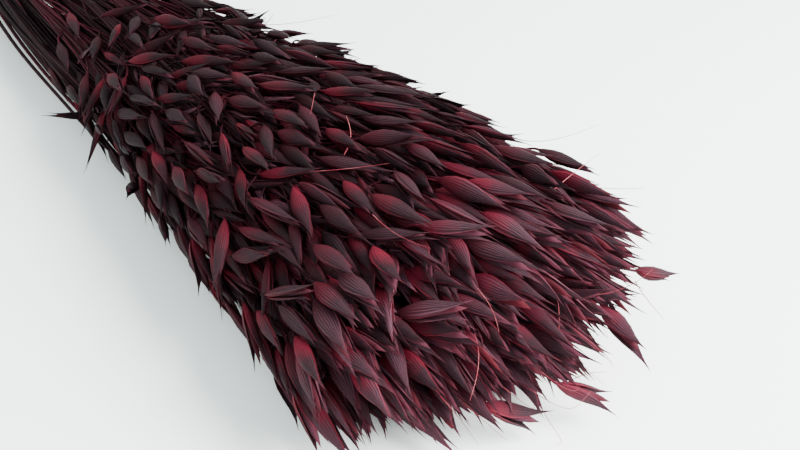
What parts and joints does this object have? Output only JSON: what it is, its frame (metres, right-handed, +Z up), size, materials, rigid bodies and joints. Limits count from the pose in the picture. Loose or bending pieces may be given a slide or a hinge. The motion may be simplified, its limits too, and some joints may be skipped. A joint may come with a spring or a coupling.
{
  "type": "bunch of dried oats",
  "caption": "Fanning bunch of dyed dried oat stalks tied with twine round the straws, lying on its side; dry flowers for a vase, wreath or table",
  "frame": {"origin": "on the table under the middle of the bunch's box", "axes": "+X runs along the stalks from the cut ends to the heads, +Z is up from the table, +Y is across the fan"},
  "size_m": [0.605, 0.1382, 0.0644],
  "materials": {
    "dyed_husk": "dry, dyed dark burgundy, matt",
    "twine": "undyed natural fibre"
  },
  "bodies": {
    "root": {"oat_stalk_01": "dyed_husk", "oat_stalk_02": "dyed_husk", "oat_stalk_03": "dyed_husk", "oat_stalk_04": "dyed_husk", "oat_stalk_05": "dyed_husk", "oat_stalk_06": "dyed_husk", "oat_stalk_07": "dyed_husk", "oat_stalk_08": "dyed_husk", "oat_stalk_09": "dyed_husk", "oat_stalk_10": "dyed_husk", "oat_stalk_11": "dyed_husk", "oat_stalk_12": "dyed_husk", "oat_stalk_13": "dyed_husk", "oat_stalk_14": "dyed_husk", "oat_stalk_15": "dyed_husk", "oat_stalk_16": "dyed_husk", "oat_stalk_17": "dyed_husk", "oat_stalk_18": "dyed_husk", "oat_stalk_19": "dyed_husk", "oat_stalk_20": "dyed_husk", "oat_stalk_21": "dyed_husk", "oat_stalk_22": "dyed_husk", "oat_stalk_23": "dyed_husk", "oat_stalk_24": "dyed_husk", "oat_stalk_25": "dyed_husk", "oat_stalk_26": "dyed_husk", "oat_stalk_27": "dyed_husk", "oat_stalk_28": "dyed_husk", "oat_stalk_29": "dyed_husk", "oat_stalk_30": "dyed_husk", "oat_stalk_31": "dyed_husk", "oat_stalk_32": "dyed_husk", "oat_stalk_33": "dyed_husk", "oat_stalk_34": "dyed_husk", "oat_stalk_35": "dyed_husk", "oat_stalk_36": "dyed_husk", "oat_stalk_37": "dyed_husk", "oat_stalk_38": "dyed_husk", "oat_stalk_39": "dyed_husk", "oat_stalk_40": "dyed_husk", "oat_stalk_41": "dyed_husk", "oat_stalk_42": "dyed_husk", "twine_tie": "twine"}
  },
  "joints": []
}
